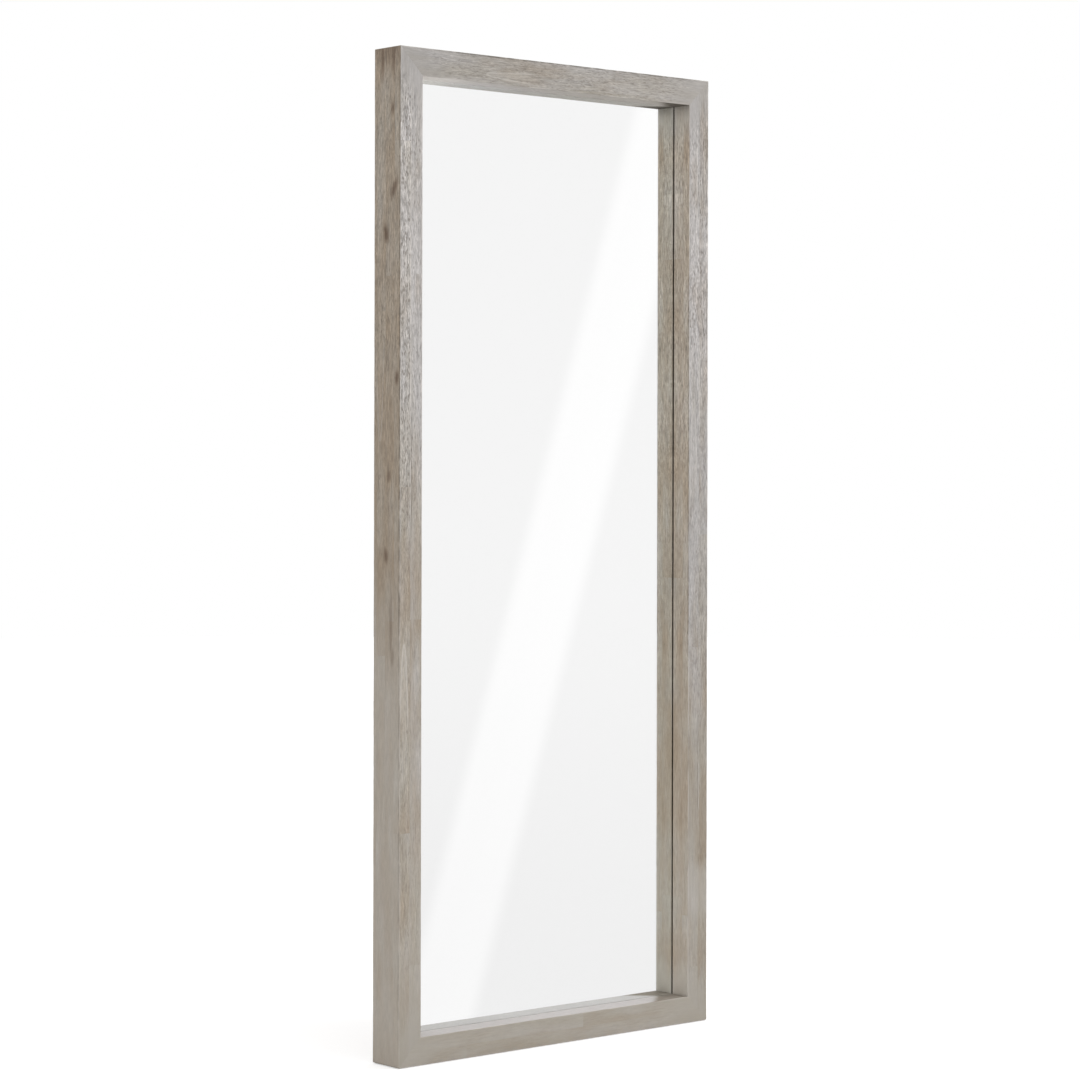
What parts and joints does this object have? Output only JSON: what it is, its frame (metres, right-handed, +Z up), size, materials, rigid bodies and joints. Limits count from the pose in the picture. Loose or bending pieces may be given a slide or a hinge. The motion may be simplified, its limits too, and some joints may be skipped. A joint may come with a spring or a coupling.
{
  "type": "standing mirror",
  "caption": "Full-length standing mirror: a deep mitred box frame of lime-washed wood round a recessed rectangular mirror glass, with hanger rings, bumpers and floor pads.",
  "frame": {"origin": "on the floor under the pads, midway between the sides and between the front face and the faces of the wall bumpers", "axes": "+X across the mirror to the right as seen from its front, +Y from the front to the back, +Z up"},
  "size_m": [0.762, 0.084, 1.83],
  "materials": {
    "washed_wood": "lime-washed, wire-brushed open grain, matte",
    "plain_wood": "planed, unfinished",
    "mirror": "clear float glass, silvered back",
    "board": "smooth brown fibreboard",
    "tape": "thin dark brown foam tape",
    "block": "firm black rubber",
    "steel": "zinc plated",
    "bumper": "moulded black rubber, matte",
    "felt": "pressed felt"
  },
  "bodies": {
    "frame": {"backing_board": "board", "batten_screws": "steel", "bottom_batten": "plain_wood", "bottom_glazing_tape": "tape", "bottom_left_brace": "steel", "bottom_left_dowels": "plain_wood", "bottom_left_wall_bumper": "bumper", "bottom_rail": "washed_wood", "bottom_right_brace": "steel", "bottom_right_dowels": "plain_wood", "bottom_right_wall_bumper": "bumper", "brace_screws": "steel", "bumper_screws": "steel", "cross_bar": "plain_wood", "cross_bar_screws": "steel", "hanger_screws": "steel", "left_back_floor_pad": "felt", "left_batten": "plain_wood", "left_front_floor_pad": "felt", "left_glazing_tape": "tape", "left_hanger_strap": "steel", "left_setting_block": "block", "left_stile": "washed_wood", "mirror_glass": "mirror", "right_back_floor_pad": "felt", "right_batten": "plain_wood", "right_front_floor_pad": "felt", "right_glazing_tape": "tape", "right_hanger_strap": "steel", "right_setting_block": "block", "right_stile": "washed_wood", "top_batten": "plain_wood", "top_glazing_tape": "tape", "top_left_brace": "steel", "top_left_dowels": "plain_wood", "top_left_wall_bumper": "bumper", "top_rail": "washed_wood", "top_right_brace": "steel", "top_right_dowels": "plain_wood", "top_right_wall_bumper": "bumper"},
    "left_ring": {"left_hanger_ring": "steel"},
    "right_ring": {"right_hanger_ring": "steel"}
  },
  "joints": [
    {"name": "left_ring_swing", "type": "hinge", "parent": "frame", "child": "left_ring", "pos_m": [-0.3615, 0.03788, 1.53], "axis": [1, 0, 0], "range_deg": [0, 180]},
    {"name": "right_ring_swing", "type": "hinge", "parent": "frame", "child": "right_ring", "pos_m": [0.3615, 0.03788, 1.53], "axis": [1, 0, 0], "range_deg": [0, 180]}
  ]
}
